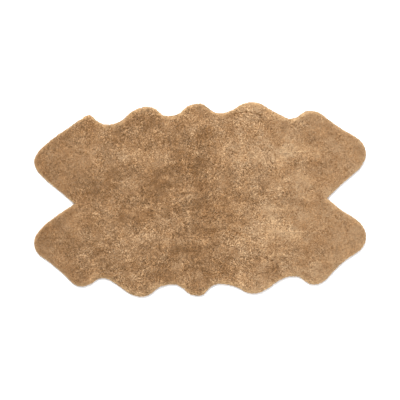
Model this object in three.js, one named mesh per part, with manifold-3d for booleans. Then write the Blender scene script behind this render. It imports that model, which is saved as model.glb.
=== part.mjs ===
// A four-pelt sheepskin rug, lying flat on the floor with its wool up.
//
// Units are millimetres and +Z is up. X runs along the rug, Y across it (rear is +Y), and the origin is on
// the floor under the middle of the rug. Each pelt is a leather hide with a fleece of shorn wool on it. The
// four hides are sewn edge to edge: one long seam runs from the notch at the left end to the notch at the
// right end, and two cross seams run from the middle to the rear and front edges. A flat overcast thread
// lies on the underside of each seam, in a band where the leather is pared thin, so the rug lies flat.

import * as THREE from 'three';
import { mergeVertices } from 'three/addons/utils/BufferGeometryUtils.js';
import Module from 'manifold-3d';

const wasm = await Module();
wasm.setup();

// ---- Driving dimensions ----------------------------------------------------------------------------------

const RUG_LENGTH = 1850; // tip to tip along X
const RUG_WIDTH = 1085; // lobe to lobe along Y
const HIDE_THICKNESS = 2; // woolskin leather
const PILE_HEIGHT = 30; // shorn wool, above the leather
const WOOL_OVERHANG = 12; // how far the wool stands out past the leather's edge
const EDGE_ROUNDING = 24; // how far the wool's top edge is rounded back
const TOUCH_GAP = 0.3; // between pieces that touch

const SEAM_BAND = 10; // width of the pared band under a seam
const SEAM_DEPTH = 1.1; // depth of the pared band
const THREAD_THICKNESS = 0.6;
const THREAD_WIDTH = 1.1;
const STITCH_LENGTH = 12; // one full zigzag of the overcast thread
const STITCH_REACH = 3; // how far the zigzag reaches to each side of the seam

const LABEL_LENGTH = 48; // away from the seam
const LABEL_WIDTH = 30; // along the seam
const LABEL_THICKNESS = 0.5; // a folded woven tape
const LABEL_FROM_EDGE = 150; // from the front end of the cross seam to the label's middle
const LABEL_FLOOR_GAP = 0.1;

const OUTLINE_STEP = 25; // spacing of the points along a pelt's outline
const EDGE_BANDS = 5; // bands of facets around the wool's rounded edge

// ---- Outlines --------------------------------------------------------------------------------------------

// A pelt's free edge runs from the end notch, round the tip and along the scalloped side to the cross seam.
// Each point gives [percent of half the rug's length, percent of half its width], from the rug's middle.
const LEFT_NOTCH = [-75.6, -4.4];
const RIGHT_NOTCH = [76.6, 1.1];
const REAR_SEAM_END = [0, 98.8];
const FRONT_SEAM_END = [0, -99.2];

const FREE_EDGES = {
  rear_left: [
    LEFT_NOTCH, [-85, 9], [-94, 22], [-99, 32], [-100, 40], [-97.5, 49], [-87, 65], [-80, 73],
    [-72, 82.5], [-66.5, 87], [-61, 79.5], [-56, 77], [-48, 80.5], [-40.5, 91], [-33, 95.5], [-27, 93.5],
    [-22.5, 87], [-17, 86], [-12.5, 88.5], [-8, 95.5], [-4, 98], REAR_SEAM_END,
  ],
  rear_right: [
    RIGHT_NOTCH, [82, 10.5], [89.5, 22], [96.5, 32.5], [99.7, 43], [99.7, 51], [97, 60], [86, 72],
    [78, 81.5], [73, 88], [68.5, 91], [63.5, 90.5], [58.5, 85], [54, 83], [49, 86.5], [42, 93], [36.5, 98.5],
    [30, 100], [25, 98], [20, 92.5], [14, 89], [10, 89], [6, 92.5], [3, 97], REAR_SEAM_END,
  ],
  front_right: [
    RIGHT_NOTCH, [85.5, -11], [95, -21.5], [99, -30], [100, -40.5], [97, -51], [88, -62], [80.5, -73.5],
    [75.5, -83], [71, -87], [65.5, -86.5], [60, -80], [55, -79], [48, -83], [40, -92.5], [34, -96.5],
    [28, -95.5], [22, -90], [15, -87], [10, -87], [5.5, -91], [2.5, -97], FRONT_SEAM_END,
  ],
  front_left: [
    LEFT_NOTCH, [-88, -18.5], [-96.5, -31], [-100, -42], [-98.5, -54], [-91, -64], [-84, -74], [-78.5, -83],
    [-75, -88], [-71, -89.5], [-66, -87], [-61, -81.5], [-56, -81.5], [-48, -90], [-41.5, -97.5],
    [-35, -100], [-30, -97.5], [-25, -90.5], [-19, -87.5], [-14.5, -87.5], [-10, -91.5], [-6.5, -97],
    FRONT_SEAM_END,
  ],
};

function fromPercent([along, across]) {
  return new THREE.Vector2((along / 100) * (RUG_LENGTH / 2), (across / 100) * (RUG_WIDTH / 2));
}

const leftNotch = fromPercent(LEFT_NOTCH);
const rightNotch = fromPercent(RIGHT_NOTCH);
const rearSeamEnd = fromPercent(REAR_SEAM_END);
const frontSeamEnd = fromPercent(FRONT_SEAM_END);
const alongLongSeam = rightNotch.clone().sub(leftNotch).normalize();
const middle = leftNotch.clone().addScaledVector(alongLongSeam, -leftNotch.x / alongLongSeam.x);

// ---- Pelts -----------------------------------------------------------------------------------------------

// The free edge of a pelt as evenly spaced points, each with the direction that points into the pelt.
function freeEdge(corner) {
  const points = FREE_EDGES[corner].map(fromPercent);
  const curve = new THREE.CatmullRomCurve3(
    points.map((p) => new THREE.Vector3(p.x, p.y, 0)), false, 'centripetal',
  );
  const steps = Math.round(curve.getLength() / OUTLINE_STEP);
  const turn = corner === 'rear_left' || corner === 'front_right' ? -1 : 1;
  return Array.from({ length: steps + 1 }, (_, i) => {
    const place = curve.getPointAt(i / steps);
    const along = curve.getTangentAt(i / steps);
    return {
      place: new THREE.Vector2(place.x, place.y),
      inward: new THREE.Vector2(-along.y, along.x).multiplyScalar(turn),
    };
  });
}

// A pelt's closed outline, with its free edge moved inwards by inset. The free edge's two ends slide along
// the seams, and the seam edges keep half a gap to the seam lines.
function peltRing(corner, inset) {
  const edge = freeEdge(corner);
  const side = new THREE.Vector2(
    corner.endsWith('right') ? 1 : -1,
    corner.startsWith('rear') ? 1 : -1,
  );
  const ring = edge.map(({ place, inward }) => place.clone().addScaledVector(inward, inset));
  const first = edge[0];
  const last = edge[edge.length - 1];
  const toMiddle = alongLongSeam.clone().multiplyScalar(-side.x);
  const alongCross = new THREE.Vector2(0, -side.y);
  const notchEnd = first.place.clone().addScaledVector(toMiddle, inset / toMiddle.dot(first.inward));
  const crossEnd = last.place.clone().addScaledVector(alongCross, inset / alongCross.dot(last.inward));
  notchEnd.y += (side.y * TOUCH_GAP) / 2;
  crossEnd.x += (side.x * TOUCH_GAP) / 2;
  ring[0] = notchEnd;
  ring[ring.length - 1] = crossEnd;
  ring.push(middle.clone().addScaledVector(side, TOUCH_GAP / 2));
  return ring;
}

// A closed solid through rings of equal length, stacked from the lowest to the highest.
function loft(rings, heights) {
  const clockwise = THREE.ShapeUtils.isClockWise(rings[0]);
  const turned = rings.map((ring) => (clockwise ? [...ring].reverse() : ring));
  const count = turned[0].length;
  const positions = turned.flatMap((ring, k) => ring.flatMap((p) => [p.x, p.y, heights[k]]));
  const index = [];
  for (let k = 0; k + 1 < turned.length; k++) {
    for (let i = 0; i < count; i++) {
      const a = k * count + i;
      const b = k * count + ((i + 1) % count);
      index.push(a, b, b + count, a, b + count, a + count);
    }
  }
  const top = (turned.length - 1) * count;
  for (const [a, b, c] of THREE.ShapeUtils.triangulateShape(turned[0], [])) {
    index.push(c, b, a);
  }
  for (const [a, b, c] of THREE.ShapeUtils.triangulateShape(turned[turned.length - 1], [])) {
    index.push(top + a, top + b, top + c);
  }
  const geometry = new THREE.BufferGeometry();
  geometry.setAttribute('position', new THREE.Float32BufferAttribute(positions, 3));
  geometry.setIndex(index);
  return geometry;
}

// The wool's edge is an elliptic arc in section: it leaves the leather's edge, swells out by the overhang
// and rounds back over the top.
function fleeceGeometry(corner) {
  const floor = HIDE_THICKNESS + TOUCH_GAP;
  const start = -Math.acos(1 - WOOL_OVERHANG / EDGE_ROUNDING);
  const rings = [];
  const heights = [];
  for (let k = 0; k <= EDGE_BANDS; k++) {
    const angle = THREE.MathUtils.lerp(start, Math.PI / 2, k / EDGE_BANDS);
    const rise = (Math.sin(angle) - Math.sin(start)) / (1 - Math.sin(start));
    rings.push(peltRing(corner, EDGE_ROUNDING * (1 - Math.cos(angle))));
    heights.push(floor + PILE_HEIGHT * rise);
  }
  return loft(rings, heights);
}

function hideGeometry(corner) {
  const ring = peltRing(corner, WOOL_OVERHANG);
  const leather = loft([ring, ring], [0, HIDE_THICKNESS]);
  const cutters = [seamBand(leftNotch, rightNotch), seamBand(frontSeamEnd, rearSeamEnd)];
  if (corner === LABEL_CORNER) {
    cutters.push(labelPocket());
  }
  return cutAway(leather, cutters);
}

// ---- Cutting ---------------------------------------------------------------------------------------------

function toManifold(geometry) {
  const bare = geometry.clone();
  bare.deleteAttribute('normal');
  bare.deleteAttribute('uv');
  const merged = mergeVertices(bare);
  return new wasm.Manifold(new wasm.Mesh({
    numProp: 3,
    vertProperties: Float32Array.from(merged.attributes.position.array),
    triVerts: Uint32Array.from(merged.index.array),
  }));
}

function cutAway(geometry, cutters) {
  const solid = cutters.reduce((left, cutter) => left.subtract(toManifold(cutter)), toManifold(geometry));
  const mesh = solid.getMesh();
  const result = new THREE.BufferGeometry();
  result.setAttribute('position', new THREE.Float32BufferAttribute(mesh.vertProperties, 3));
  result.setIndex(Array.from(mesh.triVerts));
  return result;
}

// The block that pares the leather away under the seam from one end to the other, and past both.
function seamBand(from, to) {
  const length = from.distanceTo(to) + 2 * SEAM_BAND;
  const block = new THREE.BoxGeometry(length, SEAM_BAND, 2 * SEAM_DEPTH);
  block.rotateZ(Math.atan2(to.y - from.y, to.x - from.x));
  block.translate((from.x + to.x) / 2, (from.y + to.y) / 2, 0);
  return block;
}

// ---- Seam threads ----------------------------------------------------------------------------------------

// A flat zigzag strand that runs from one point to another.
function threadGeometry(from, to) {
  const turns = 2 * Math.floor(from.distanceTo(to) / STITCH_LENGTH);
  const step = from.distanceTo(to) / turns;
  const halfWidth = (THREAD_WIDTH / 2) * (Math.hypot(step, 2 * STITCH_REACH) / step);
  const centre = (i) => (i % 2 ? 1 : -1) * (STITCH_REACH - halfWidth);
  const corners = (offset) => Array.from(
    { length: turns + 1 }, (_, i) => new THREE.Vector2(i * step, centre(i) + offset),
  );
  const outline = new THREE.Shape([...corners(-halfWidth), ...corners(halfWidth).reverse()]);
  const strand = new THREE.ExtrudeGeometry(outline, { depth: THREAD_THICKNESS, bevelEnabled: false });
  strand.rotateZ(Math.atan2(to.y - from.y, to.x - from.x));
  strand.translate(from.x, from.y, SEAM_DEPTH - TOUCH_GAP - THREAD_THICKNESS);
  return strand;
}

// The long seam's thread stops short of the wool's overhang at both notches.
function longThread() {
  const inset = WOOL_OVERHANG + SEAM_BAND;
  return threadGeometry(
    leftNotch.clone().addScaledVector(alongLongSeam, inset),
    rightNotch.clone().addScaledVector(alongLongSeam, -inset),
  );
}

// A cross seam's thread starts beside the long seam's thread and stops short of the edge.
function crossThread(end) {
  const out = Math.sign(end.y - middle.y);
  const from = new THREE.Vector2(0, middle.y + out * (SEAM_BAND / 2 + STITCH_REACH));
  const to = new THREE.Vector2(0, end.y - out * (WOOL_OVERHANG + SEAM_BAND / 2));
  return threadGeometry(from, to);
}

// ---- Care label ------------------------------------------------------------------------------------------

// The label lies in a shallow pocket in the front right hide, with one end at the cross seam's thread.
const LABEL_CORNER = 'front_right';
const labelLow = new THREE.Vector3(
  STITCH_REACH + TOUCH_GAP,
  frontSeamEnd.y + LABEL_FROM_EDGE - LABEL_WIDTH / 2,
  LABEL_FLOOR_GAP,
);
const labelHigh = labelLow.clone().add(new THREE.Vector3(LABEL_LENGTH, LABEL_WIDTH, LABEL_THICKNESS));

function blockBetween(low, high) {
  const size = high.clone().sub(low);
  const centre = low.clone().add(high).divideScalar(2);
  return new THREE.BoxGeometry(size.x, size.y, size.z).translate(centre.x, centre.y, centre.z);
}

function labelPocket() {
  const low = labelLow.clone().subScalar(TOUCH_GAP);
  const high = labelHigh.clone().addScalar(TOUCH_GAP);
  low.z = -high.z;
  return blockBetween(low, high);
}

// ---- Assembly --------------------------------------------------------------------------------------------

const wool = new THREE.MeshStandardMaterial({ color: '#b08a62', roughness: 0.95, metalness: 0 });
const suede = new THREE.MeshStandardMaterial({ color: '#c9ad87', roughness: 0.85, metalness: 0 });
const thread = new THREE.MeshStandardMaterial({ color: '#9a7a55', roughness: 0.7, metalness: 0 });
const tape = new THREE.MeshStandardMaterial({ color: '#efece4', roughness: 0.6, metalness: 0 });

const rug = new THREE.Group();

function add(name, geometry, material) {
  const mesh = new THREE.Mesh(geometry, material);
  mesh.name = name;
  rug.add(mesh);
}

for (const corner of Object.keys(FREE_EDGES)) {
  add(`hide_${corner}`, hideGeometry(corner), suede);
  add(`fleece_${corner}`, fleeceGeometry(corner), wool);
}
add('seam_thread_long', longThread(), thread);
add('seam_thread_cross_rear', crossThread(rearSeamEnd), thread);
add('seam_thread_cross_front', crossThread(frontSeamEnd), thread);
add('care_label', blockBetween(labelLow, labelHigh), tape);

export default rug;
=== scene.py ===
"""A four-pelt sheepskin rug: curly shorn wool, suede hides, sewn seams and a blank care label."""

from functools import reduce

import bpy
import numpy as np
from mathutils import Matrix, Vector
from mathutils.geometry import delaunay_2d_cdt


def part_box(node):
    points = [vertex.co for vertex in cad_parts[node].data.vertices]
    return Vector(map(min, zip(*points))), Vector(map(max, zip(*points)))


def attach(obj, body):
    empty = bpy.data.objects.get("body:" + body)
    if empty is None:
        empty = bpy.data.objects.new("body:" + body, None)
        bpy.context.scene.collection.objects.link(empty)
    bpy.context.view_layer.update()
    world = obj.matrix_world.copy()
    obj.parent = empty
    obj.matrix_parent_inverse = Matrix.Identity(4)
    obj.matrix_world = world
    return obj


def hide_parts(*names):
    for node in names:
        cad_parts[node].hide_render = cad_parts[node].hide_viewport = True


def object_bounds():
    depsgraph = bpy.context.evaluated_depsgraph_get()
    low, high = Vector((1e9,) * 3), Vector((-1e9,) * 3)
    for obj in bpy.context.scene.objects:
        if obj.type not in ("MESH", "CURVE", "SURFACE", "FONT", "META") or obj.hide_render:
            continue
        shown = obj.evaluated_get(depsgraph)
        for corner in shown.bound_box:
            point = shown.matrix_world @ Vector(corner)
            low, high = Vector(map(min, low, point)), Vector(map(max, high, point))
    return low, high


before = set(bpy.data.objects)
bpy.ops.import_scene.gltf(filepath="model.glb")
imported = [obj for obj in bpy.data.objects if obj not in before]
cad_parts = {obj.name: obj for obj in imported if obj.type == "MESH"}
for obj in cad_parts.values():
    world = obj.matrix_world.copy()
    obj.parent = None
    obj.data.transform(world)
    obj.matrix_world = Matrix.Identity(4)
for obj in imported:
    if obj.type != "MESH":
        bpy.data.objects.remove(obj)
cad_low, cad_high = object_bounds()

MM = 0.001
rng = np.random.default_rng(20)

# ---- Sizes that come from the frame ----

PELTS = ("rear_left", "rear_right", "front_left", "front_right")
SEAM_EDGE = 0.1  # an outline's edges longer than this are its straight seam edges

hide_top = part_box("hide_rear_left")[1].z
wool_floor, wool_top = (corner.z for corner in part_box("fleece_rear_left"))
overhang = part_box("hide_rear_left")[0].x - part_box("fleece_rear_left")[0].x

# ---- The wool's own sizes ----

EDGE_ROUNDING = 24 * MM  # as the fleece's rounded edge in the frame
WALL_STEP = 5 * MM  # between the points along the pile's outline
PILE_GRID = 2.3 * MM  # between the points of the pile's top
PILE_DROP = 2.6 * MM  # from the wool's surface to the dense pile under its loose curls
# The dense pile's wall from its top edge down: mm inside the outline and the share of the edge's height.
PILE_WALL = ((5.0, 1.0), (3.5, 0.62), (5.0, 0.35), (8.5, 0.14), (12.5, 0.0))
WALL_DEPTH = 0.4  # the wall's depth value, which sets the painted shade on the wall under the curls
WALL_WOBBLE = 0.5 * MM  # how uneven it is
CURL_SPACING = 3.7 * MM
RIM_SPACING = 2.7 * MM
CURL_LENGTHS = (7.875 * MM, 12.6 * MM)  # the shortest and the longest
CURL_WIDTH = 0.62 * MM  # half of a curl's broad side
CURL_THICKNESS = 0.45 * MM  # half of its narrow side
CURL_TAPER = (0.9, 1.1, 0.9, 0.35)  # the curl's girth at each of its rings
CURL_RINGS = len(CURL_TAPER)
CURL_SIDES = 3
CURL_GIRTHS = (0.75, 1.3)  # the thinnest and the thickest
CURL_LEANS = (-10, 35)  # its lean at the root, in degrees
CURL_BENDS = (70, 210)  # how far it bends from root to tip, in degrees
CURL_TWIST = 0.5  # the spread of its turn from ring to ring, in radians
CURL_LIFT = 0.6 * MM  # the spread of its top above and below the wool's surface
CURL_SCATTER = 0.45  # how far a curl stands from its place in the grid, as a share of the spacing
ROOT_DEPTH = 0.58  # a curl's depth value at its root, where its tip has 1; it sets the painted shade at the root
CELL_MARGIN = 0.08  # around a curl in its cell of the flat map
TOP_MARGIN = 3.5 * MM  # between the outline and the curls of the wool's top
RIM_ROWS = range(-52, 34, 12)  # the side curls' places on the rounded edge, in degrees above its widest line
RIM_SCATTER = 0.11  # how far they stand from them, in radians
LOWEST_WOOL = 0.4 * MM
EDGE_REACH = 60 * MM  # how far inside the outline the distance to it is measured
RIM_WIDTH = 45 * MM  # of the rim inside the outline, where the wool is painted lighter as painted light
WALL_RIM = 0.7  # the share of the rim's painted light that the dense pile's wall has
UNDER_ANGLE = 0.6  # over how much of the edge below its widest line the painted rim light fades, in radians
UNDER_FADE = 0.5  # the share of the rim's painted light that is gone there, as painted shade under the edge

# ---- The underside's own sizes ----

ROOF_GAP = 0.3 * MM  # between a thread or the label and the leather over it
seam_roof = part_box("seam_thread_long")[1].z + ROOF_GAP
BAND_FLAT = 4 * MM  # from the seam to where its pared band starts to slope down
BAND_FOOT = 5.5 * MM  # from the seam to the foot of that slope
BUTT_WIDTH = 1.2 * MM  # of the leather's edges that meet in the seam
BUTT_RISE = 0.35 * MM  # how much higher they are pared
DENT_HEIGHT = 0.15 * MM  # of the suede's shallow dents
DENT_LIMIT = 0.4 * MM
HIDE_GRID = 12 * MM  # between the leather's points
HIDE_STEP = 6 * MM  # between those of its outline
THREAD_RADIUS = 0.32 * MM
STITCH_PITCH = 4.5 * MM  # one stitch over the seam and back
STITCH_REACH = 2.9 * MM  # from the seam to the needle holes
STITCH_ROOT = 0.3 * MM  # how far up in the leather a stitch turns
STITCH_DROP = 0.85 * MM  # from there down to its middle, under the seam
STITCH_STEPS = 7
THREAD_SIDES = 6
LABEL_PELT = "front_right"
LABEL_PLY = 0.2 * MM
LABEL_ROOM = 0.5 * MM  # around the label in its shallow pocket


# ---- Outlines and fields ----


def ring_at(node, height):
    """The outline of a CAD node at one of its levels, as ordered anticlockwise points in the plane."""
    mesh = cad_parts[node].data
    level = {
        v.index: (round(v.co.x, 6), round(v.co.y, 6))
        for v in mesh.vertices
        if abs(v.co.z - height) < 0.02 * MM
    }
    flat_faces = {}
    for face in mesh.polygons:
        corners = list(face.vertices)
        on_level = all(i in level for i in corners)
        for a, b in zip(corners, corners[1:] + corners[:1]):
            if a in level and b in level:
                edge = frozenset((level[a], level[b]))
                flat_faces[edge] = flat_faces.get(edge, 0) + on_level
    beside = {}
    for edge in (edge for edge, count in flat_faces.items() if count < 2):
        for here, there in (tuple(edge), tuple(edge)[::-1]):
            beside.setdefault(here, []).append(there)
    ring = [min(beside)]
    while True:
        onward = [p for p in beside[ring[-1]] if p not in ring[-2:]]
        if not onward or onward[0] == ring[0]:
            break
        ring.append(onward[0])
    ring = np.array(ring)
    return ring if ring_area(ring) > 0 else ring[::-1]


def ring_area(ring):
    """The area inside a ring, negative where the ring runs clockwise."""
    x, y = ring.T
    return np.sum(x * np.roll(y, -1) - np.roll(x, -1) * y) / 2


def ring_neighbours(ring):
    """The points before and after each point of a ring, and whether the edges to them are seam edges."""
    before, after = np.roll(ring, 1, 0), np.roll(ring, -1, 0)
    seam_before = np.linalg.norm(ring - before, axis=1) > SEAM_EDGE
    seam_after = np.linalg.norm(after - ring, axis=1) > SEAM_EDGE
    return before, after, seam_before, seam_after


def widest_height(node):
    """The level at which a CAD node reaches furthest along X."""
    return max(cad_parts[node].data.vertices, key=lambda v: (abs(v.co.x), v.co.z)).co.z


def inside(points, ring):
    """Which points lie inside a ring."""
    order = np.argsort(points[:, 1])
    x, y = points[order].T
    found = np.zeros(len(points), bool)
    for (ax, ay), (bx, by) in zip(ring, np.roll(ring, -1, 0)):
        if ay != by:
            first, last = np.searchsorted(y, sorted((ay, by)))
            crossing = (bx - ax) * (y[first:last] - ay) / (by - ay) + ax
            found[order[first:last]] ^= x[first:last] < crossing
    return found


def free_segments(ring):
    """The segments of an anticlockwise ring along the pelt's free edge, and each one's outward way."""
    a, b = ring, np.roll(ring, -1, 0)
    along = b - a
    length = np.linalg.norm(along, axis=1)
    free = length < SEAM_EDGE
    outward = np.stack([along[:, 1], -along[:, 0]], 1) / length[:, None]
    return a[free], b[free], outward[free]


def nearest_on(points, starts, ends, reach):
    """The distance from points to the nearest of some segments, at most a reach, and the way to it."""
    order = np.argsort(points[:, 0])
    ranked = points[order]
    best = np.full(len(points), reach)
    away = np.zeros((len(points), 2))
    for a, b in zip(starts, ends):
        low, high = np.minimum(a, b) - reach, np.maximum(a, b) + reach
        first, last = np.searchsorted(ranked[:, 0], (low[0], high[0]))
        y = ranked[first:last, 1]
        near = first + np.flatnonzero((y > low[1]) & (y < high[1]))
        along = b - a
        t = np.clip((ranked[near] - a) @ along / (along @ along), 0, 1)
        gap = a + t[:, None] * along - ranked[near]
        d = np.hypot(*gap.T)
        closer = d < best[near]
        best[near[closer]] = d[closer]
        away[near[closer]] = gap[closer] / np.maximum(d[closer], 1e-9)[:, None]
    found, way = np.empty_like(best), np.empty_like(away)
    found[order], way[order] = best, away
    return found, way


def distance_to_edge(points):
    """The distance from points to the wool's free edge, at most EDGE_REACH, and the outward way to it."""
    return nearest_on(points, *edges[:2], EDGE_REACH)


def smoothstep(t):
    t = np.clip(t, 0, 1)
    return t * t * (3 - 2 * t)


def waves(points, wavelength, count=24):
    """A smooth random field over the plane, about -1 to 1, whose swells are about a wavelength apart."""
    angle = rng.uniform(0, 2 * np.pi, count)
    pitch = 2 * np.pi / (wavelength * rng.uniform(0.7, 1.6, count))
    phase = rng.uniform(0, 2 * np.pi, count)
    run = points @ np.stack([np.cos(angle), np.sin(angle)]) * pitch + phase
    return np.sin(run).sum(1) / np.sqrt(count)


NOISE_CELLS = 512
noise_table = rng.uniform(-1, 1, (NOISE_CELLS, NOISE_CELLS))


def lumps(points, size, shift=0.0):
    """Smooth random lumps over the plane, -1 to 1, each about a size across."""
    place = points / size + shift + NOISE_CELLS
    cell = np.floor(place).astype(int)
    t = place - cell
    t = t * t * (3 - 2 * t)
    value = np.zeros(len(points))
    for dx in (0, 1):
        for dy in (0, 1):
            weight = np.abs(1 - dx - t[:, 0]) * np.abs(1 - dy - t[:, 1])
            value += weight * noise_table[(cell[:, 0] + dx) % NOISE_CELLS, (cell[:, 1] + dy) % NOISE_CELLS]
    return value


def stirred(points, size, reach, shift=0.0):
    """The points, each moved sideways by smooth random lumps."""
    moves = [lumps(points, size, shift + apart) for apart in (11.3, 47.9)]
    return points + reach * np.column_stack(moves)


rings = {pelt: ring_at(f"fleece_{pelt}", widest_height(f"fleece_{pelt}")) for pelt in PELTS}
edges = [np.concatenate(part) for part in zip(*(free_segments(ring) for ring in rings.values()))]


def pelt_corners(pelt):
    """A hide's three corners: at the rug's middle, at the end notch and at the end of the cross seam."""
    ring = ring_at(f"hide_{pelt}", hide_top)
    before, after, seam_before, seam_after = ring_neighbours(ring)
    centre = np.flatnonzero(seam_before & seam_after)[0]
    ends = (before[centre], after[centre])
    return ring[centre], max(ends, key=lambda p: abs(p[0])), max(ends, key=lambda p: abs(p[1]))


corners = {pelt: pelt_corners(pelt) for pelt in PELTS}
left_notch = (corners["rear_left"][1] + corners["front_left"][1]) / 2
right_notch = (corners["rear_right"][1] + corners["front_right"][1]) / 2
rear_end = (corners["rear_left"][2] + corners["rear_right"][2]) / 2
front_end = (corners["front_left"][2] + corners["front_right"][2]) / 2
middle = sum(corners[pelt][0] for pelt in PELTS) / len(PELTS)
seams = ((left_notch, right_notch), (front_end, rear_end))


def seam_ways(start, end):
    """A seam's length, and the directions along and across it."""
    length = np.linalg.norm(end - start)
    along = (end - start) / length
    return length, along, np.array([-along[1], along[0]])


def seam_distance(points):
    """The distance from points to the nearer seam."""
    found = np.full(len(points), np.inf)
    for start, end in seams:
        along = seam_ways(start, end)[1]
        offset = points - start
        found = np.minimum(found, np.abs(offset[:, 0] * along[1] - offset[:, 1] * along[0]))
    return found


def pelt_of(points):
    """The index of the pelt that each plane point belongs to."""
    slope = (right_notch[1] - left_notch[1]) / (right_notch[0] - left_notch[0])
    rear = points[:, 1] > left_notch[1] + slope * (points[:, 0] - left_notch[0])
    left = points[:, 0] < middle[0]
    return np.where(rear, np.where(left, 0, 1), np.where(left, 2, 3))


# The wool's edge is an elliptic arc in section, from where it leaves the leather up to its top.
ARC_START = -np.arccos(1 - overhang / EDGE_ROUNDING)
ARC_HEIGHT = (wool_top - wool_floor) / (1 - np.sin(ARC_START))


def surface_angle(distance):
    """The angle on the wool's rounded edge at a distance inside the wool's outline."""
    return np.arccos(1 - np.clip(distance / EDGE_ROUNDING, 0, 1))


def surface_height(angle):
    """The height of the wool's surface at an angle on its rounded edge."""
    return wool_floor + ARC_HEIGHT * (np.sin(angle) - np.sin(ARC_START))


def toward_tips(points):
    """1 near the pelts' tips at the rug's two ends, 0 along its middle."""
    return smoothstep((np.abs(points[:, 0]) - 0.5) / 0.3)


def rim_share(points, distance):
    """1 at the wool's outline, 0 well inside it. The rim is narrower at the tips."""
    width = RIM_WIDTH * (1 - 0.5 * toward_tips(points))
    return 1 - np.clip(distance / width, 0, 1)


# ---- Wool tone and partings ----

# Lighter and darker patches of the wool: x, y, half length and half width in metres, and strength. They are
# partly the wool's own tone and partly painted light and shade from the way the wool lies. The rear
# and front pelts are cut alike, so the broadest patches come in pairs.
PAIR_SHIFT = -0.445  # from a patch on a rear pelt to its pair on the front pelt, along y
PAIRED_PATCHES = (
    (0.376, 0.255, 0.11, 0.05, 0.9),
    (0.5, 0.262, 0.08, 0.035, 0.6),
    (-0.36, 0.24, 0.2, 0.045, 0.8),
    (0.165, 0.245, 0.06, 0.05, 0.6),
    (-0.65, 0.26, 0.11, 0.045, 0.45),
    (-0.06, 0.17, 0.1, 0.04, -0.6),
    (0.27, 0.085, 0.06, 0.04, -0.5),
    (-0.25, 0.085, 0.08, 0.04, -0.5),
    (0.62, 0.17, 0.07, 0.035, -0.45),
)
SINGLE_PATCHES = (
    (0.0, 0.43, 0.09, 0.055, 0.8),
    (0.255, 0.513, 0.085, 0.018, 1.1),
    (0.35, 0.43, 0.08, 0.03, -0.4),
    (0.385, -0.09, 0.04, 0.04, 0.7),
    (-0.17, -0.09, 0.06, 0.035, 0.45),
    (-0.06, 0.06, 0.06, 0.05, 0.35),
    (-0.39, -0.43, 0.06, 0.04, 0.45),
    (-0.07, -0.42, 0.06, 0.04, 0.5),
    (-0.7, -0.11, 0.07, 0.05, 0.25),
    (-0.6, 0.41, 0.07, 0.04, -0.6),
    (-0.39, 0.43, 0.06, 0.045, -0.35),
    (0.5, 0.42, 0.16, 0.03, -0.4),
    (-0.28, -0.005, 0.06, 0.035, -0.5),
    (0.28, 0.01, 0.06, 0.04, -0.4),
    (-0.5, 0.0, 0.05, 0.04, -0.3),
    (0.42, -0.35, 0.09, 0.035, -0.5),
    (0.17, -0.4, 0.05, 0.05, -0.3),
    (0.01, 0.34, 0.03, 0.06, -0.6),
    (-0.78, -0.33, 0.11, 0.08, 0.25),
    (0.43, -0.385, 0.016, 0.03, -0.9),
)
PATCH_GAIN = 0.36  # a full patch's share of the way from dark to light
HALVES_GAIN = 0.15  # how much lighter than even the right half is, and darker the left
MOTTLE_GAIN = 0.32
MOTTLE_SIZES = ((0.2, 0.09), (0.5, 0.045), (0.55, 0.02))  # the share and size of its lumps, in metres
CLUSTER_SIZE = 0.05  # of a group of openings between the tufts, which get painted shade
OPENING_SIZE = 0.0048
OPENING_SHADE = 0.5
TUFT_SIZE = 2.8 * MM
TUFT_GAIN = 0.22
CURL_GAIN = 0.24  # the spread from curl to curl
PARTING_LIGHT_AND_SHADE = 0.6
PILE_TONE = -0.06  # how much lighter the dense pile is than its curls

# Short lines along which the wool parts or stands up: their two ends, in metres, and how deep they lie. The
# wool is painted darker in a parting, as painted shade. A line with a negative depth stands up and is
# painted lighter, as painted light.
PARTINGS = (
    ((0.177, 0.476), (0.255, 0.488), 1.0),
    ((0.255, 0.488), (0.345, 0.468), 1.0),
    ((0.006, -0.56), (0.006, -0.5), 1.0),
    ((0.418, 0.25), (0.424, 0.13), 0.6),
    ((0.418, -0.19), (0.424, -0.31), 0.6),
    ((0.325, -0.412), (0.372, -0.405), 0.8),
    ((0.425, -0.36), (0.442, -0.402), 1.0),
    ((0.04, 0.302), (0.066, 0.294), 0.9),
    ((-0.052, 0.15), (-0.02, 0.142), 0.8),
    ((-0.052, -0.29), (-0.02, -0.286), 0.8),
    ((0.366, 0.142), (0.398, 0.13), 0.7),
    ((-0.33, -0.02), (-0.28, -0.024), 0.7),
    ((-0.578, -0.442), (-0.556, -0.434), 0.8),
    ((-0.492, -0.258), (-0.455, -0.265), 0.7),
    ((0.44, 0.26), (0.59, 0.268), -0.8),
    ((0.44, -0.183), (0.59, -0.178), -0.8),
)
PARTING_REACH = 5.5 * MM  # from its line to its edge
PARTING_DEPTH = 3 * MM


def parting(points):
    """How deep each plane point lies in a parting of the wool, 1 at the deepest."""
    moved = stirred(points, 0.015, 0.003)
    found = np.zeros(len(points))
    for start, end, depth in PARTINGS:
        along = np.subtract(end, start)
        offset = moved - start
        t = np.clip(offset @ along / (along @ along), 0, 1)
        distance = np.hypot(*(offset - t[:, None] * along).T)
        found += depth * smoothstep(1 - distance / PARTING_REACH)
    return found


def surface_waves(points):
    """How far the wool's top swells above or below its even height."""
    swell = 1.1 * lumps(points, 60 * MM, 8.8) + 0.9 * lumps(points, 24 * MM, 1.7)
    return swell * MM - PARTING_DEPTH * parting(points)


def patch_tone(points):
    """How much lighter or darker the patches make the wool over the plane."""
    paired = [(x, y + k * PAIR_SHIFT, *rest) for x, y, *rest in PAIRED_PATCHES for k in (0, 1)]
    moved = stirred(stirred(points, 0.07, 0.022), 0.024, 0.010)
    tone = np.zeros(len(points))
    for x, y, half_length, half_width, strength in paired + list(SINGLE_PATCHES):
        reach = ((moved[:, 0] - x) / half_length) ** 2 + ((moved[:, 1] - y) / half_width) ** 2
        tone += strength * np.exp(-reach)
    return tone


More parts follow.
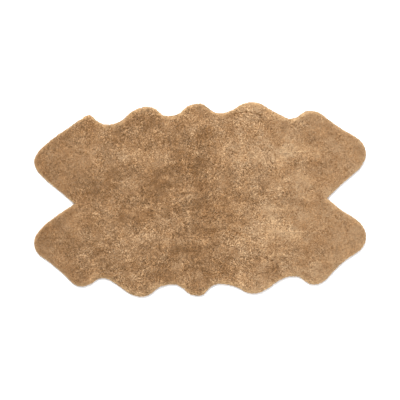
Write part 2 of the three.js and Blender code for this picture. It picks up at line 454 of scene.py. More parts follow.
def mottle(points):
    """Cloudy variation of the wool's tone along the pelts, from clouds down to wisps, about -1 to 1. It is
    partly the wool's own tone and partly painted light and shade from the way the wool lies.
    """
    moved = stirred(points, 0.05, 0.02, 5.0) * (0.75, 1.15)
    return sum(share * lumps(moved, size, size) for share, size in MOTTLE_SIZES)


def openings(points):
    """Painted shade in small openings between tufts, in clusters: 1 in an opening, 0 between them."""
    clusters = lumps(stirred(points, 0.04, 0.015), CLUSTER_SIZE, 7.7)
    gaps = lumps(stirred(points, 0.005, 0.002), OPENING_SIZE, 8.3)
    return smoothstep((clusters + 0.1) / 0.6) * smoothstep((gaps - 0.3) / 0.3)


def wool_tone(points):
    """The wool's tone over the plane, 0 dark to 1 light, with painted shade in its partings and painted
    light on the lines that stand up.
    """
    halves = np.tanh((points[:, 0] - 0.19) / 0.09)
    clouds = MOTTLE_GAIN * (1 - 0.5 * toward_tips(points)) * mottle(points)
    even = 0.5 + HALVES_GAIN * halves + PATCH_GAIN * patch_tone(points) + clouds
    # painted shade in the small openings between tufts
    return even - PARTING_LIGHT_AND_SHADE * parting(points) - OPENING_SHADE * openings(points)


def coarseness(points):
    """How open and uneven the wool's curl is: fine at the rug's two ends and coarse in the middle."""
    ends = 1.3 - 0.8 * smoothstep((np.abs(points[:, 0] + 0.1) - 0.3) / 0.6)
    return ends * (1 + 0.45 * lumps(points, 0.055, 3.3) + 0.25 * lumps(points, 0.02, 5.1))


# ---- Meshes and objects ----


def ring_faces(rings, sides):
    """The four-sided faces between rings of points, each ring with the same number of sides."""
    faces = []
    for a in range(0, (rings - 1) * sides, sides):
        b = a + sides
        for s in range(sides):
            n = (s + 1) % sides
            faces.append((a + s, a + n, b + n, b + s))
    return faces


def end_caps(rings, sides):
    """The faces that close the first and the last ring."""
    last = (rings - 1) * sides
    return [tuple(range(sides))[::-1], tuple(range(last, last + sides))]


def new_mesh(name, points, faces):
    mesh = bpy.data.meshes.new(name)
    mesh.from_pydata(points, [], faces)
    return mesh


def shade_smooth(mesh):
    mesh.polygons.foreach_set("use_smooth", np.ones(len(mesh.polygons), bool))


def add_attribute(mesh, name, values):
    mesh.attributes.new(name, "FLOAT", "POINT").data.foreach_set("value", values.astype(np.float32))


def add_map(mesh, uv):
    """Give a mesh its flat map, one place for each corner of each face."""
    mesh.uv_layers.new(name="OFBake").data.foreach_set("uv", uv.astype(np.float32).ravel())


def new_object(name, data):
    made = bpy.data.objects.new(name, data)
    bpy.context.scene.collection.objects.link(made)
    return made


def add_piece(name, mesh, material, node):
    """A piece of the rug, which stands for a node of the frame."""
    piece = new_object(name, mesh)
    mesh.materials.append(material)
    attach(piece, "root")
    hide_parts(node)
    return piece


# ---- Loose curls ----


def unit(vectors):
    return vectors / np.maximum(np.linalg.norm(vectors, axis=-1, keepdims=True), 1e-12)


def top_places():
    """Places on the wool's top and shoulders: plane points, distance inside the outline and outward way."""
    across = CURL_SPACING * np.sqrt(3) / 2
    xs = np.arange(cad_low.x, cad_high.x, CURL_SPACING)
    ys = np.arange(cad_low.y, cad_high.y, across)
    grid_x, grid_y = np.meshgrid(xs, ys)
    grid_x[1::2] += CURL_SPACING / 2
    points = np.stack([grid_x.ravel(), grid_y.ravel()], 1)
    points += rng.uniform(-CURL_SCATTER, CURL_SCATTER, points.shape) * CURL_SPACING
    covered = np.zeros(len(points), bool)
    for ring in rings.values():
        covered |= inside(points, ring)
    points = points[covered]
    distance, away = distance_to_edge(points)
    kept = distance > TOP_MARGIN
    return points[kept], distance[kept], away[kept]


def rim_places():
    """Places on the wool's side: points on its outline, angles on the rounded edge and outward ways."""
    a, b, outward = edges
    length = np.linalg.norm(b - a, axis=1)
    places, angles, ways = [], [], []
    for angle in np.radians(RIM_ROWS):
        count = rng.poisson(length / RIM_SPACING)
        which = np.repeat(np.arange(len(a)), count)
        t = rng.uniform(0, 1, len(which))[:, None]
        places.append(a[which] + t * (b - a)[which])
        ways.append(outward[which])
        angles.append(angle + rng.uniform(-RIM_SCATTER, RIM_SCATTER, len(which)))
    return np.concatenate(places), np.concatenate(angles), np.concatenate(ways)


def surface_frame(outline_point, angle, away):
    """The point on the wool's rounded surface at an angle, and the surface's outward direction there."""
    inward = EDGE_ROUNDING * (1 - np.cos(angle))
    flat = outline_point - away * inward[:, None]
    lean = away * (ARC_HEIGHT * np.cos(angle))[:, None]
    rise = EDGE_ROUNDING * np.sin(angle)
    return np.column_stack([flat, surface_height(angle)]), unit(np.column_stack([lean, rise]))


def all_places():
    """Every curl's place on the wool's surface, growing direction and how near the rim it is."""
    points, distance, away = top_places()
    angle = surface_angle(distance)
    place, grow = surface_frame(points + away * np.minimum(distance, EDGE_ROUNDING)[:, None], angle, away)
    place[:, :2] = points
    rim_point, rim_angle, rim_away = rim_places()
    rim_place, rim_grow = surface_frame(rim_point, rim_angle, rim_away)
    return (
        np.concatenate([place, rim_place]),
        np.concatenate([grow, rim_grow]),
        np.concatenate([rim_share(points, distance), 1 - UNDER_FADE * smoothstep(-rim_angle / UNDER_ANGLE)]),
    )


def curl_paths(place, grow, rim):
    """The line of each curl: out of the dense pile and over in an arc, with a little twist."""
    count = len(place)
    plane = place[:, :2]
    swirl = waves(plane, 160 * MM) + 1.2 * lumps(plane, 9 * MM, 2.2)
    nap = np.pi * swirl + rng.normal(0, 0.7, count)
    side = np.column_stack([np.cos(nap), np.sin(nap), np.zeros(count)])
    side = unit(side - grow * (side * grow).sum(1)[:, None])
    other = np.cross(grow, side)
    length = rng.uniform(*CURL_LENGTHS, count)
    bend = np.radians(rng.uniform(*CURL_BENDS, count))
    start = np.radians(rng.uniform(*CURL_LEANS, count))
    height = length / bend * (np.sin(np.minimum(start + bend, np.pi / 2)) - np.sin(start))
    calm = np.where(rim > 0.6, 0.4, 1.0)
    lift = surface_waves(plane) * calm + rng.normal(0, CURL_LIFT, count)
    root = place + grow * (lift - height)[:, None]
    twist = rng.normal(0, CURL_TWIST, count)
    steps = CURL_RINGS - 1
    points = [root]
    frames = []
    for k in range(CURL_RINGS):
        angle = start + bend * k / steps
        turn = twist * k
        lean = side * np.cos(turn)[:, None] + other * np.sin(turn)[:, None]
        along = grow * np.cos(angle)[:, None] + lean * np.sin(angle)[:, None]
        frames.append((along, np.cross(grow, lean)))
        if k < steps:
            middle_angle = angle + bend / steps / 2
            way = grow * np.cos(middle_angle)[:, None] + lean * np.sin(middle_angle)[:, None]
            points.append(points[-1] + way * (length / steps)[:, None])
    return points, frames


def curl_points(place, grow, rim):
    """The points of every curl, ring by ring from its root to its tip."""
    points, frames = curl_paths(place, grow, rim)
    girth = rng.uniform(*CURL_GIRTHS, len(place))
    layers = []
    for point, (along, broad), taper in zip(points, frames, CURL_TAPER):
        narrow = np.cross(along, broad)
        for s in range(CURL_SIDES):
            phase = 2 * np.pi * s / CURL_SIDES
            offset = broad * (CURL_WIDTH * np.cos(phase)) + narrow * (CURL_THICKNESS * np.sin(phase))
            layers.append(point + offset * (girth * taper)[:, None])
    co = np.stack(layers, 1).reshape(-1, 3)
    co[:, 2] = np.maximum(co[:, 2], LOWEST_WOOL)
    return co


def curl_map(count):
    """The flat map of many curls, each in its own cell of a square grid."""
    grid = int(np.ceil(np.sqrt(count)))
    cell = np.stack([np.arange(count) % grid, np.arange(count) // grid], 1) / grid
    rows = np.linspace(0, 1, CURL_RINGS)
    columns = np.linspace(0, 1, CURL_SIDES + 1)
    sides = [
        ((left, low), (right, low), (right, high), (left, high))
        for low, high in zip(rows, rows[1:])
        for left, right in zip(columns, columns[1:])
    ]
    caps = [(u, v) for v in (0.0, 1.0) for u in (0.1, 0.5, 0.9)]
    used = 1 - 2 * CELL_MARGIN
    side_uv = cell[:, None, None] + (CELL_MARGIN + used * np.array(sides))[None] / grid
    cap_uv = cell[:, None] + (CELL_MARGIN + used * np.array(caps))[None] / grid
    return np.concatenate([side_uv.reshape(-1, 2), cap_uv.reshape(-1, 2)])


def curl_mesh(name, place, grow, shades):
    """One mesh of many curls, each a closed tapered strand with a value of its own for every shade."""
    count = len(place)
    co = curl_points(place, grow, shades["rim"])
    per_curl = CURL_RINGS * CURL_SIDES
    first = np.arange(count)[:, None, None] * per_curl
    quads = (first + np.array(ring_faces(CURL_RINGS, CURL_SIDES))[None]).reshape(-1, 4)
    tris = (first + np.array(end_caps(CURL_RINGS, CURL_SIDES))[None]).reshape(-1, 3)
    loops = np.concatenate([quads.ravel(), tris.ravel()])
    starts = np.concatenate([np.arange(len(quads)) * 4, quads.size + np.arange(len(tris)) * 3])
    mesh = bpy.data.meshes.new(name)
    mesh.vertices.add(len(co))
    mesh.vertices.foreach_set("co", co.astype(np.float32).ravel())
    mesh.loops.add(len(loops))
    mesh.loops.foreach_set("vertex_index", loops.astype(np.int32))
    mesh.polygons.add(len(starts))
    mesh.polygons.foreach_set("loop_start", starts.astype(np.int32))
    add_map(mesh, curl_map(count))
    ring_share = np.repeat(np.arange(CURL_RINGS) / (CURL_RINGS - 1), CURL_SIDES)
    add_attribute(mesh, "depth", np.tile(ROOT_DEPTH + (1 - ROOT_DEPTH) * ring_share, count))
    add_attribute(mesh, "around", np.tile(np.arange(CURL_SIDES) / CURL_SIDES, count * CURL_RINGS))
    for shade, values in shades.items():
        add_attribute(mesh, shade, np.repeat(values, per_curl))
    mesh.update(calc_edges=True)
    mesh.validate()
    shade_smooth(mesh)
    return mesh


# ---- Materials ----


class Nodes:
    """A short way to write a material's node tree."""

    def __init__(self, name):
        self.material = bpy.data.materials.new(name)
        self.material.use_nodes = True
        self.tree = self.material.node_tree
        self.shader = self.tree.nodes["Principled BSDF"]

    def add(self, kind, **settings):
        node = self.tree.nodes.new(f"ShaderNode{kind}")
        for key, value in settings.items():
            setattr(node, key, value)
        return node

    def link(self, source, target):
        self.tree.links.new(source, target)

    def attribute(self, name):
        return self.add("Attribute", attribute_name=name).outputs["Fac"]

    def texture(self, kind, scale, **settings):
        """A texture in the object's own space."""
        node = self.add(f"Tex{kind}", **settings)
        node.inputs["Scale"].default_value = scale
        self.link(self.add("TexCoord").outputs["Object"], node.inputs["Vector"])
        return node

    def noise(self, scale, detail, distortion=0.0):
        node = self.texture("Noise", scale)
        node.inputs["Detail"].default_value = detail
        node.inputs["Distortion"].default_value = distortion
        return node.outputs["Fac"]

    def bands(self, scale, direction):
        return self.texture("Wave", scale, wave_type="BANDS", bands_direction=direction).outputs["Fac"]

    def curled_lines(self, scale):
        """Fine wandering lines, like curled fibres: 1 on a line, 0 between lines."""
        off = self.math("ABSOLUTE", self.math("SUBTRACT", self.noise(scale, 1.0, 1.2), 0.5))
        return self.math("SUBTRACT", 1.0, self.math("MULTIPLY", off, 7.0, clamp=True))

    def total(self, *terms):
        """The sum of some values, each times its gain."""
        products = [self.math("MULTIPLY", value, gain) for value, gain in terms]
        return reduce(lambda a, b: self.math("ADD", a, b), products)

    def ramp(self, value, stops):
        node = self.add("ValToRGB")
        for spare in list(node.color_ramp.elements)[1:]:
            node.color_ramp.elements.remove(spare)
        for k, (place, colour) in enumerate(stops):
            element = node.color_ramp.elements[0] if k == 0 else node.color_ramp.elements.new(place)
            element.position = place
            element.color = (*colour, 1)
        self.link(value, node.inputs["Fac"])
        return node.outputs["Color"]

    def math(self, operation, a, b=0.0, clamp=False):
        node = self.add("Math", operation=operation, use_clamp=clamp)
        for socket, value in zip(node.inputs, (a, b)):
            if isinstance(value, (int, float)):
                socket.default_value = value
            else:
                self.link(value, socket)
        return node.outputs[0]

    def mix(self, factor, a, b, blend="MIX"):
        node = self.add("Mix", data_type="RGBA", blend_type=blend)
        for socket, value in ((node.inputs[0], factor), (node.inputs[6], a), (node.inputs[7], b)):
            if isinstance(value, (int, float)):
                socket.default_value = value
            elif isinstance(value, tuple):
                socket.default_value = (*value, 1)
            else:
                self.link(value, socket)
        return node.outputs[2]

    def bump(self, height, strength, distance):
        node = self.add("Bump")
        node.inputs["Strength"].default_value = strength
        node.inputs["Distance"].default_value = distance
        self.link(height, node.inputs["Height"])
        self.link(node.outputs["Normal"], self.shader.inputs["Normal"])

    def set(self, **values):
        for key, value in values.items():
            self.shader.inputs[key.replace("_", " ")].default_value = value


# Colours by tone, from 0 dark to 1 light.
WOOL_TONES = ((0.0, (0.195, 0.096, 0.034)), (0.5, (0.382, 0.218, 0.102)), (1.0, (0.562, 0.376, 0.211)))
WOOL_RIM_LIGHT = (0.780, 0.520, 0.265)  # painted light along the outline, where the wool is lit from behind and all round
WOOL_HUES = ((0.38, (0.98, 1.0, 1.03)), (0.62, (1.02, 0.995, 0.955)))  # a cooler and a warmer tint
WOOL_DEPTH_SHADES = ((0.0, (0.30, 0.25, 0.20)), (0.75, (1.0, 1.0, 1.0)))  # painted shade at the curls' roots and in the pile's hollows, by depth
SUEDE_TONES = ((0.3, (0.42, 0.30, 0.19)), (0.5, (0.56, 0.42, 0.28)), (0.7, (0.66, 0.52, 0.37)))
THREAD_TONES = ((0.0, (0.20, 0.13, 0.08)), (1.0, (0.36, 0.25, 0.15)))
LABEL_TONES = ((0.0, (0.72, 0.70, 0.65)), (1.0, (0.86, 0.84, 0.79)))
RIM_LIGHT_GAIN = 0.15  # how much lighter the wool is painted at the outline, as painted light
FIBRE_GAIN = 0.5
FIBRE_MEAN = 0.25
SPECK_GAIN = 1.5
FIBRES_AROUND = 6  # fine ridges around one curl


def wool_material():
    n = Nodes("wool")
    swirls = n.curled_lines(600)
    ridges = n.math("SINE", n.math("MULTIPLY", n.attribute("around"), 2 * np.pi * FIBRES_AROUND))
    fibres = n.total((swirls, 0.6), (ridges, 0.2))
    off_mean = n.math("SUBTRACT", fibres, FIBRE_MEAN)
    specks = n.math("MULTIPLY", n.math("SUBTRACT", n.noise(260, 1.0), 0.5), n.attribute("grain"))
    rim = n.attribute("rim")
    tone = n.total((n.attribute("tone"), 1.0), (off_mean, FIBRE_GAIN), (specks, SPECK_GAIN), (rim, RIM_LIGHT_GAIN))
    colour = n.ramp(tone, WOOL_TONES)
    colour = n.mix(1.0, colour, n.ramp(n.noise(14, 3.0), WOOL_HUES), "MULTIPLY")
    # painted rim light, in patches, strongest right at the outline
    patchy = n.total((n.noise(30, 2.0), 0.7), (1.0, 0.3))
    rim_light = n.math("MULTIPLY", n.math("POWER", rim, 3.0), patchy)
    colour = n.mix(rim_light, colour, WOOL_RIM_LIGHT)
    # painted shade: darker towards the curls' roots, in the pile's hollows and on the pile's wall
    colour = n.mix(1.0, colour, n.ramp(n.attribute("depth"), WOOL_DEPTH_SHADES), "MULTIPLY")
    n.link(colour, n.shader.inputs["Base Color"])
    n.set(Roughness=0.9, Sheen_Weight=0.15, Sheen_Roughness=0.5, Specular_IOR_Level=0.2)
    n.set(Sheen_Tint=(1.0, 0.85, 0.65, 1.0))
    n.bump(n.total((fibres, 1.0), (n.noise(1600, 3.0), 0.5)), 0.8, 0.6 * MM)
    return n.material


def suede_material():
    n = Nodes("suede")
    nap = n.noise(1400, 4.0)
    tone = n.total((n.noise(9, 4.0), 0.75), (nap, 0.25))
    n.link(n.ramp(tone, SUEDE_TONES), n.shader.inputs["Base Color"])
    n.set(Roughness=0.9, Sheen_Weight=0.3, Specular_IOR_Level=0.2)
    n.bump(nap, 0.5, 0.4 * MM)
    return n.material


def thread_material():
    n = Nodes("thread")
    twist = n.bands(500, "DIAGONAL")
    n.link(n.ramp(twist, THREAD_TONES), n.shader.inputs["Base Color"])
    n.set(Roughness=0.6, Sheen_Weight=0.1)
    n.bump(twist, 0.5, 0.2 * MM)
    return n.material


def label_material():
    n = Nodes("label_tape")
    weave = n.bands(900, "X")
    n.link(n.ramp(weave, LABEL_TONES), n.shader.inputs["Base Color"])
    n.set(Roughness=0.45, Sheen_Weight=0.2)
    n.bump(weave, 0.4, 0.1 * MM)
    return n.material


# ---- Outlines and layers ----


def inset_ring(ring, inset):
    """The ring with its free edge moved inwards, and its ends slid along the seams."""
    before, after, seam_back, seam_ahead = ring_neighbours(ring)
    back, ahead = unit(ring - before), unit(after - ring)
    moved = []
    for i, point in enumerate(ring):
        if seam_back[i] and seam_ahead[i]:
            moved.append(point)
            continue
        along = unit(back[i] + ahead[i])
        inward = np.array([-along[1], along[0]])
        slide = inward
        if seam_back[i]:
            inward = np.array([-ahead[i][1], ahead[i][0]])
            slide = -back[i] / max(-back[i] @ inward, 0.3)
        elif seam_ahead[i]:
            inward = np.array([-back[i][1], back[i][0]])
            slide = ahead[i] / max(ahead[i] @ inward, 0.3)
        moved.append(point + slide * inset)
    return np.array(moved)


def spaced_outline(ring, step, like):
    """The ring with its free edge rounded by a spline, and a point for every step or so of one like it."""
    points = []
    count = len(ring)
    for i in range(count):
        p0, p1, p2, p3 = (ring[(i + k) % count] for k in (-1, 0, 1, 2))
        pieces = max(1, int(round(np.linalg.norm(like[(i + 1) % count] - like[i]) / step)))
        t = np.arange(pieces)[:, None] / pieces
        if np.linalg.norm(p2 - p1) > SEAM_EDGE:
            points.append(p1 + (p2 - p1) * t)
            continue
        if np.linalg.norm(p1 - p0) > SEAM_EDGE:
            p0 = 2 * p1 - p2
        if np.linalg.norm(p3 - p2) > SEAM_EDGE:
            p3 = 2 * p2 - p1
        square = (2 * p0 - 5 * p1 + 4 * p2 - p3) * t**2
        cube = (3 * p1 - p0 - 3 * p2 + p3) * t**3
        points.append(0.5 * (2 * p1 + (p2 - p0) * t + square + cube))
    return np.concatenate(points)


def plane_grid(xs, ys):
    return np.stack([g.ravel() for g in np.meshgrid(xs, ys)], 1)


def closed_loop(count):
    return [(i, (i + 1) % count) for i in range(count)]


def triangulated(points, lines):
    """The faces of a triangulation of plane points that keeps the lines, and the points as it has them."""
    made = delaunay_2d_cdt([Vector(p) for p in points], lines, [], 1, 1e-7)
    assert len(made[0]) == len(points), "an outline crosses itself"
    return [tuple(face) for face in made[2]], np.array([tuple(p) for p in made[0]])


def hide_mesh(name, ring, beside):
    """The closed layer of leather inside a ring. It has points at the places beside its seams and label."""
    low, high = ring.min(0), ring.max(0)
    grid = plane_grid(*(np.arange(low[k] + HIDE_GRID / 2, high[k], HIDE_GRID) for k in (0, 1)))
    grid += rng.uniform(-0.2, 0.2, grid.shape) * HIDE_GRID
    grid = grid[inside(grid, ring)]
    placed = np.concatenate([ring, beside])
    gap = np.full(len(grid), np.inf)
    for p in placed:
        gap = np.minimum(gap, np.hypot(*(grid - p).T))
    loop = closed_loop(len(ring))
    faces, flat = triangulated(np.concatenate([placed, grid[gap > 0.6 * HIDE_GRID]]), loop)
    count = len(flat)
    upper = np.column_stack([flat, np.full(count, hide_top)])
    lower = np.column_stack([flat, hide_underside(flat)])
    polygons = faces + [tuple(i + count for i in reversed(face)) for face in faces]
    polygons += [(b, a, a + count, b + count) for a, b in loop]
    mesh = new_mesh(name, np.concatenate([upper, lower]).tolist(), polygons)
    mesh.validate()
    shade_smooth(mesh)
    return mesh


# ---- Pieces ----

wool = wool_material()
suede = suede_material()
thread = thread_material()
label = label_material()
SECTIONS = ("rump", "loin", "flank", "shoulder", "neck")  # of each pelt, from the rug's middle outwards


def add_curls():
    """The loose curls of every pelt, one mesh for each of its sections."""
    place, grow, rim = all_places()
    plane = place[:, :2]
    grain = coarseness(plane)
    tone = wool_tone(plane) + grain * (TUFT_GAIN * tufts(plane) + rng.normal(0, CURL_GAIN, len(place)))
    owner = pelt_of(plane)
    for index, pelt in enumerate(PELTS):
        mine = np.flatnonzero(owner == index)
        order = mine[np.argsort(np.abs(place[mine, 0]))]
        for section, chosen in zip(SECTIONS, np.array_split(order, len(SECTIONS))):
            name = f"wool_curls_{pelt}_{section}"
            shades = {"rim": rim[chosen], "tone": tone[chosen], "grain": grain[chosen]}
            mesh = curl_mesh(name, place[chosen], grow[chosen], shades)
            add_piece(name, mesh, wool, f"fleece_{pelt}")


def tufts(points):
    """The wool's small tufts as lighter and darker spots, -1 to 1."""
    return np.clip(1.6 * lumps(stirred(points, 3.4 * MM, 1.1 * MM), TUFT_SIZE, 6.1), -1, 1)


def pile_relief(points):
    """The small curls of the dense pile: its height above or below even, and how deep each place lies, which
    sets the painted shade in its hollows.
    """
    moved = stirred(points, 7 * MM, 3.2 * MM, 2.0)
    ridges = 1 - 2.4 * np.abs(lumps(moved, 4.6 * MM, 9.4))
    knots = lumps(moved, 2.9 * MM, 4.2)
    relief = coarseness(points) * (1.3 * ridges + 0.8 * knots + 0.8 * tufts(points))
    return relief * MM, 0.45 + 0.18 * relief


def pile_top(ring):
    """The pile's top: square faces well inside the ring and triangles between them and the ring."""
    low, high = ring.min(0), ring.max(0)
    xs, ys = (np.arange(low[k], high[k] + PILE_GRID, PILE_GRID) for k in (0, 1))
    grid = plane_grid(xs, ys)
    gap = nearest_on(grid, ring, np.roll(ring, -1, 0), 3 * PILE_GRID)[0]
    clear = (inside(grid, ring) & (gap > 0.8 * PILE_GRID)).reshape(len(ys), len(xs))
    cell = clear[:-1, :-1] & clear[1:, :-1] & clear[:-1, 1:] & clear[1:, 1:]
    number = np.arange(clear.size).reshape(clear.shape)
    quads = np.stack([number[:-1, :-1], number[:-1, 1:], number[1:, 1:], number[1:, :-1]], -1)[cell]
    used, quads = np.unique(quads, return_inverse=True)
    quads = quads.reshape(-1, 4)
    grid = grid[used]
    border = staircase(quads)
    chosen = np.unique(border)
    count = len(ring)
    steps = (np.searchsorted(chosen, border) + count).tolist()
    lines = closed_loop(count) + [tuple(step) for step in steps]
    faces, flat = triangulated(np.concatenate([ring, grid[chosen]]), lines)
    faces = np.array(faces)
    column, row = ((flat[faces].mean(1) - (xs[0], ys[0])) / PILE_GRID).astype(int).T
    row, column = np.clip(row, 0, cell.shape[0] - 1), np.clip(column, 0, cell.shape[1] - 1)
    faces = faces[~cell[row, column]]
    renumber = np.concatenate([np.arange(count), count + chosen])
    return np.concatenate([ring, grid]), (quads + count).tolist() + renumber[faces].tolist()


def pile_wall(levels, edge_height):
    """The points of the pile's wall below its top edge, level by level."""
    co = []
    for ring, share in levels:
        height = wool_floor + (edge_height - wool_floor) * share
        wobble = rng.normal(0, WALL_WOBBLE, ring.shape) if 0 < share else np.zeros(ring.shape)
        wobble[seam_distance(ring) < 1 * MM] = 0
        co.append(np.column_stack([ring + wobble, height]))
    return np.concatenate(co)


def add_pile(pelt):
    """The dense pile: a finely curled top inside the outline, a rounded wall below it and a flat bottom."""
    levels = [
        (snapped(spaced_outline(inset_ring(rings[pelt], inset * MM), WALL_STEP, rings[pelt])), share)
        for inset, share in PILE_WALL
    ]
    count = len(levels[0][0])
    top, polygons = pile_top(levels[0][0])
    relief, depth = pile_relief(top)
    angle = surface_angle(distance_to_edge(top)[0])
    height = surface_height(angle) - PILE_DROP + surface_waves(top) + relief
    wall = pile_wall(levels[1:], height[:count])
    top_faces = len(polygons)
    above = np.arange(count)
    for base in range(len(top), len(top) + len(wall), count):
        below = base + np.arange(count)
        polygons += np.column_stack([above, below, np.roll(below, -1), np.roll(above, -1)]).tolist()
        above = below
    polygons.append(above[::-1].tolist())
    co = np.concatenate([np.column_stack([top, height]), wall])
    plane = co[:, :2]
    grain = coarseness(plane)
    rim = rim_share(plane, distance_to_edge(plane)[0])
    rim[len(top):] *= WALL_RIM
    mesh = new_mesh(f"wool_pile_{pelt}", co.tolist(), polygons)
    add_attribute(mesh, "tone", wool_tone(plane) + TUFT_GAIN * grain * tufts(plane) + PILE_TONE)
    add_attribute(mesh, "grain", grain)
    add_attribute(mesh, "depth", np.concatenate([depth, np.full(len(wall), WALL_DEPTH)]))
    add_attribute(mesh, "rim", rim)
    add_map(mesh, pile_map(mesh, top_faces, count))
    shade_smooth(mesh)
    add_piece(mesh.name, mesh, wool, f"fleece_{pelt}")


def staircase(quads):
    """The directed border edges of a patch of grid squares."""
    edges_of = np.concatenate([quads[:, [k, (k + 1) % 4]] for k in range(4)])
    ordered = np.sort(edges_of, 1)
    key = ordered[:, 0].astype(np.int64) * (quads.max() + 1) + ordered[:, 1]
    _, where, times = np.unique(key, return_index=True, return_counts=True)
    return edges_of[where[times == 1]]


def snapped(points):
    """The points, with those beside a seam moved onto it."""
    points = points.copy()
    for start, end in seams:
        across = seam_ways(start, end)[2]
        off = (points - start) @ across
        near = np.abs(off) < 0.5 * MM
        points[near] -= off[near, None] * across
    return points


# The pile's flat map, as shares of its width and height.
MAP_MARGIN = 0.005
MAP_WIDTH = 0.99
TOP_HEIGHT = 0.74
WALL_START = 0.76
WALL_PITCH = 0.12  # of all the strips together, with the gaps between them
WALL_HEIGHT = 0.10  # of all the strips together, without the gaps
BOTTOM_START = 0.90
BOTTOM_HEIGHT = 0.09


def pile_map(mesh, top_faces, count):
    """The pile's flat map: its top from above, its wall as strips over that, and its bottom over them."""
    co = np.zeros(len(mesh.vertices) * 3, np.float32)
    mesh.vertices.foreach_get("co", co)
    plane = co.reshape(-1, 3)[:, :2]
    flat = (plane - plane.min(0)) / (plane.max(0) - plane.min(0))
    vertex = np.zeros(len(mesh.loops), np.int32)
    mesh.loops.foreach_get("vertex_index", vertex)
    start = np.zeros(len(mesh.polygons), np.int32)
    mesh.polygons.foreach_get("loop_start", start)
    uv = MAP_MARGIN + flat[vertex] * (MAP_WIDTH, TOP_HEIGHT)
    wall_start, wall_end = start[top_faces], start[-1]
    walls = (wall_end - wall_start) // 4
    step = np.arange(walls)
    strips = walls // count
    u = (step % count) / count
    v = WALL_START + WALL_PITCH * (step // count) / strips
    du, dv = 1 / count, WALL_HEIGHT / strips
    corners_uv = ((0, dv), (0, 0), (du, 0), (du, dv))
    wall_uv = np.stack([np.column_stack([u + a, v + b]) for a, b in corners_uv], 1)
    uv[wall_start:wall_end] = wall_uv.reshape(-1, 2)
    uv[wall_end:] = (MAP_MARGIN, BOTTOM_START) + flat[vertex[wall_end:]] * (MAP_WIDTH, BOTTOM_HEIGHT)
    return uv


def hide_underside(points):
    """The height of the leather's flesh side: on the floor, but pared thin along the seams and the label."""
    distance = seam_distance(points)
    pared = seam_roof * (1 - smoothstep((distance - BAND_FLAT) / (BAND_FOOT - BAND_FLAT)))
    butt = BUTT_RISE * (1 - smoothstep(distance / BUTT_WIDTH))
    low, high = (np.array(corner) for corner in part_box("care_label"))
    at_label = (points > low[:2] - LABEL_ROOM) & (points < high[:2] + LABEL_ROOM)
    pocket = np.where(np.all(at_label, 1), high[2] + ROOF_GAP, 0.0)
    dents = DENT_HEIGHT * (1 + waves(points, 60 * MM) * 0.6)
    return np.maximum(np.maximum(pared + butt, pocket), np.clip(dents, 0, DENT_LIMIT))


def seam_side_points(ring):
    """Rows of points beside the seams, so that the pared band has crisp sides."""
    rows = []
    for start, end in seams:
        length, along, across = seam_ways(start, end)
        run = np.arange(0, length, HIDE_STEP)[:, None]
        for offset in (BUTT_WIDTH, 3 * MM, BAND_FLAT, BAND_FOOT):
            rows += [start + run * along + side * offset * across for side in (-1, 1)]
    points = np.concatenate(rows)
    return points[inside(points, ring)]


def label_side_points():
    """Two rings of points around the label, just inside and outside its pocket's wall."""
    low, high = (np.array(corner[:2]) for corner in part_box("care_label"))
    places = []
    for margin in (0.8 * LABEL_ROOM, 1.6 * LABEL_ROOM):
        xs = np.linspace(low[0] - margin, high[0] + margin, 9)
        ys = np.linspace(low[1] - margin, high[1] + margin, 7)
        places += [(x, y) for y in ys[[0, -1]] for x in xs]
        places += [(x, y) for x in xs[[0, -1]] for y in ys[1:-1]]
    return np.array(places)


def add_hide(pelt):
    """A pelt's leather, suede side down."""
    outline = ring_at(f"hide_{pelt}", hide_top)
    ring = spaced_outline(outline, HIDE_STEP, outline)
    beside = seam_side_points(ring)
    if pelt == LABEL_PELT:
        beside = np.concatenate([beside, label_side_points()])
        beside = beside[inside(beside, ring)]
    mesh = hide_mesh(f"suede_{pelt}", ring, beside)
    piece = add_piece(mesh.name, mesh, suede, f"hide_{pelt}")


def tube_mesh(name, path, radius, sides):
    """A closed tube along a path of points."""
    path = np.asarray(path)
    ahead = unit(np.gradient(path, axis=0))
    across = unit(np.cross(ahead, (0.0, 0.0, 1.0)))
    upward = np.cross(across, ahead)
    turn = 2 * np.pi * np.arange(sides) / sides
    circle = across[:, None] * np.cos(turn)[:, None] + upward[:, None] * np.sin(turn)[:, None]
    co = (path[:, None] + radius * circle).reshape(-1, 3)
    mesh = new_mesh(name, co.tolist(), ring_faces(len(path), sides) + end_caps(len(path), sides))
    shade_smooth(mesh)
    return mesh


def add_thread(node, start, end):
    """An overcast seam: slanted stitches that cross the seam and dive into the leather at each side."""
    low, high = (np.array(corner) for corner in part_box(node))
    length, along, across = seam_ways(start, end)
    reach = np.clip([(np.array(p[:2]) - start) @ along for p in (low, high)], 0, length)
    run = max(reach) - min(reach)
    crossings = 2 * int(run / STITCH_PITCH)
    t = np.arange(crossings * STITCH_STEPS + 1) / STITCH_STEPS
    crossing = np.minimum(t.astype(int), crossings - 1)
    share = t - crossing
    side = np.where(crossing % 2 == 0, 1, -1) * (2 * share - 1)
    wander = 1 + 0.08 * np.sin(2.3 * crossing)
    lengthways = np.outer(min(reach) + t * run / crossings, along)
    sideways = np.outer(side * STITCH_REACH * wander, across)
    height = seam_roof + STITCH_ROOT - STITCH_DROP * np.sqrt(np.sin(np.pi * np.clip(share, 0, 1)))
    path = np.column_stack([start + lengthways + sideways, height])
    mesh = tube_mesh(node.replace("seam_thread", "overcast_thread"), path, THREAD_RADIUS, THREAD_SIDES)
    add_piece(mesh.name, mesh, thread, node)


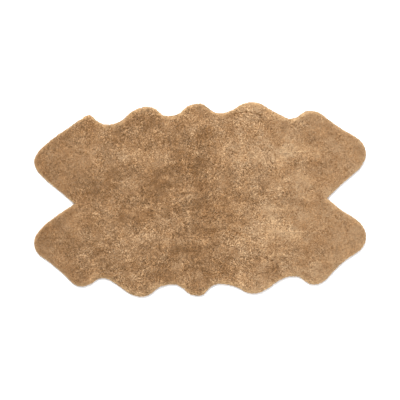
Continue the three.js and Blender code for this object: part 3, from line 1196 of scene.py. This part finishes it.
def add_label():
    """A blank woven tape, folded once, with both ends in the seam."""
    low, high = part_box("care_label")
    fold = (high.z - low.z - LABEL_PLY) / 2
    turns = np.linspace(-np.pi / 2, np.pi / 2, 9)
    run = np.linspace(low.x, high.x - fold - LABEL_PLY / 2, 25)
    centre = (low.z + high.z) / 2
    bow = 0.5 * fold * np.sin(np.pi * (run - run[0]) / (run[-1] - run[0]))
    lower = np.column_stack([run, np.full(len(run), centre - fold)])
    bend = np.column_stack([run[-1] + fold * np.cos(turns), centre + fold * np.sin(turns)])
    upper = np.column_stack([run, centre + fold - bow])[::-1]
    path = np.concatenate([lower, bend[1:-1], upper])
    ahead = unit(np.gradient(path, axis=0))
    normal = np.column_stack([-ahead[:, 1], ahead[:, 0]])
    outline = np.concatenate([path + normal * LABEL_PLY / 2, (path - normal * LABEL_PLY / 2)[::-1]])
    ys = np.linspace(low.y, high.y, 9)
    count = len(outline)
    faces = ring_faces(len(ys), count)
    half = count // 2
    for k, flip in ((0, True), (len(ys) - 1, False)):
        for i in range(half - 1):
            quad = [k * count + j for j in (i, i + 1, count - 2 - i, count - 1 - i)]
            faces.append(tuple(quad[::-1] if flip else quad))
    mesh = new_mesh("blank_care_label", [(x, y, z) for y in ys for x, z in outline], faces)
    piece = add_piece(mesh.name, mesh, label, "care_label")


add_curls()
for pelt in PELTS:
    add_pile(pelt)
    add_hide(pelt)
add_thread("seam_thread_long", left_notch, right_notch)
add_thread("seam_thread_cross_rear", middle, rear_end)
add_thread("seam_thread_cross_front", middle, front_end)
add_label()


# ---- Stage ----

FRAME_WIDTH = 2.229  # what the camera sees across, at the wool
CAMERA_Y = -0.0028  # over a point just in front of the rug's middle
LENS = 100.0  # in mm, as the sensor
SENSOR = 36.0
SIGHT = 100.0  # how far the camera sees, in metres
FLOOR_HALF = 4.0
FLOOR_GREY = 0.93
CEILING = 0.5  # how bright the ceiling is beside the walls
LAMPS = (  # name, place, width in metres and power in watts
    ("key", (-1.1, 4.0, 6.2), 4.0, 840),
    ("fill", (1.2, -1.6, 3.6), 3.0, 60),
)


def add_floor():
    sides = (-FLOOR_HALF, FLOOR_HALF)
    mesh = new_mesh("floor", [(x, y, 0) for y in sides for x in sides], [(0, 1, 3, 2)])
    n = Nodes("floor")
    n.set(Base_Color=(FLOOR_GREY, FLOOR_GREY, FLOOR_GREY, 1), Roughness=0.9)
    mesh.materials.append(n.material)
    new_object("floor", mesh)


def add_lamp(name, place, width, watts):
    """A round soft light that faces the rug's middle."""
    light = bpy.data.lights.new(name, "AREA")
    light.shape = "DISK"
    light.size = width
    light.energy = watts
    lamp = new_object(name, light)
    lamp.location = place
    lamp.rotation_euler = (-Vector(place)).to_track_quat("-Z", "Y").to_euler()


def add_camera():
    """A camera that looks straight down."""
    data = bpy.data.cameras.new("camera")
    data.lens = LENS
    data.sensor_width = SENSOR
    data.clip_end = SIGHT
    camera = new_object("camera", data)
    camera.location = (0, CAMERA_Y, FRAME_WIDTH * LENS / SENSOR + wool_top / 2)
    bpy.context.scene.camera = camera


def add_world():
    """White walls all round, under a dimmer ceiling."""
    world = bpy.data.worlds.new("studio")
    world.use_nodes = True
    tree = world.node_tree
    where = tree.nodes.new("ShaderNodeTexCoord")
    split = tree.nodes.new("ShaderNodeSeparateXYZ")
    ramp = tree.nodes.new("ShaderNodeValToRGB")
    for element, place, grey in zip(ramp.color_ramp.elements, (0.25, 0.8), (1.0, CEILING)):
        element.position = place
        element.color = (grey, grey, grey, 1)
    background = tree.nodes["Background"]
    tree.links.new(where.outputs["Generated"], split.inputs[0])
    tree.links.new(split.outputs["Z"], ramp.inputs["Fac"])
    tree.links.new(ramp.outputs["Color"], background.inputs["Color"])
    bpy.context.scene.world = world


add_floor()
for lamp in LAMPS:
    add_lamp(*lamp)
add_camera()
add_world()
bpy.context.scene.view_settings.view_transform = "Standard"
